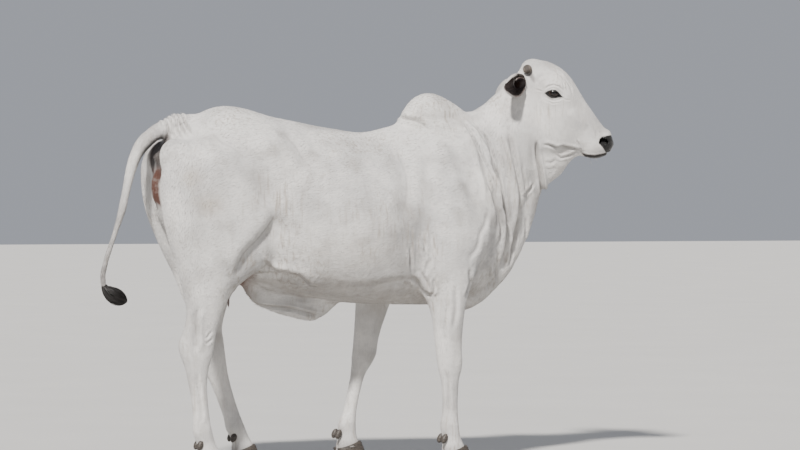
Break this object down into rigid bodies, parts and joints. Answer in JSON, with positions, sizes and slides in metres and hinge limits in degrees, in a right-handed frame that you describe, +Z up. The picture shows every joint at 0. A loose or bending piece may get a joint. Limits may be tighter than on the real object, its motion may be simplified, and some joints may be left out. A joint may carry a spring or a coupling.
{
  "type": "nelore cow",
  "caption": "Life-size standing Nelore cow with shoulder hump, pleated dewlap, drooping ears, horn buds, raised tail with a dark switch and cloven hooves.",
  "frame": {"origin": "middle of the whole animal's footprint, on the ground", "axes": "+X the way the trunk faces, towards the head, +Y the animal's left side, +Z up"},
  "size_m": [2.131, 0.6116, 1.6406],
  "materials": {
    "coat": "short flat white hair over grey-white skin",
    "ear_skin": "short white hair outside, dark bare skin inside",
    "bare_skin": "thinly haired brownish skin",
    "tail_hair": "long black hair in a brush",
    "hoof": "dark slightly glossy horn with growth rings",
    "horn": "rough grey-brown horn stub",
    "eye": "wet black"
  },
  "bodies": {
    "root": {"dewlap": "coat", "ear_left": "ear_skin", "ear_right": "ear_skin", "eye_left": "eye", "eye_right": "eye", "fore_leg_left_claw_inner": "hoof", "fore_leg_left_claw_outer": "hoof", "fore_leg_left_dewclaw_inner": "hoof", "fore_leg_left_dewclaw_outer": "hoof", "fore_leg_left_lower": "coat", "fore_leg_left_upper": "coat", "fore_leg_right_claw_inner": "hoof", "fore_leg_right_claw_outer": "hoof", "fore_leg_right_dewclaw_inner": "hoof", "fore_leg_right_dewclaw_outer": "hoof", "fore_leg_right_lower": "coat", "fore_leg_right_upper": "coat", "head": "coat", "hind_leg_left_claw_inner": "hoof", "hind_leg_left_claw_outer": "hoof", "hind_leg_left_dewclaw_inner": "hoof", "hind_leg_left_dewclaw_outer": "hoof", "hind_leg_left_lower": "coat", "hind_leg_left_upper": "coat", "hind_leg_right_claw_inner": "hoof", "hind_leg_right_claw_outer": "hoof", "hind_leg_right_dewclaw_inner": "hoof", "hind_leg_right_dewclaw_outer": "hoof", "hind_leg_right_lower": "coat", "hind_leg_right_upper": "coat", "horn_bud_left": "horn", "horn_bud_right": "horn", "hump": "coat", "navel_flap": "coat", "neck": "coat", "tail": "coat", "tail_switch": "tail_hair", "torso": "coat", "udder": "bare_skin"}
  },
  "joints": []
}
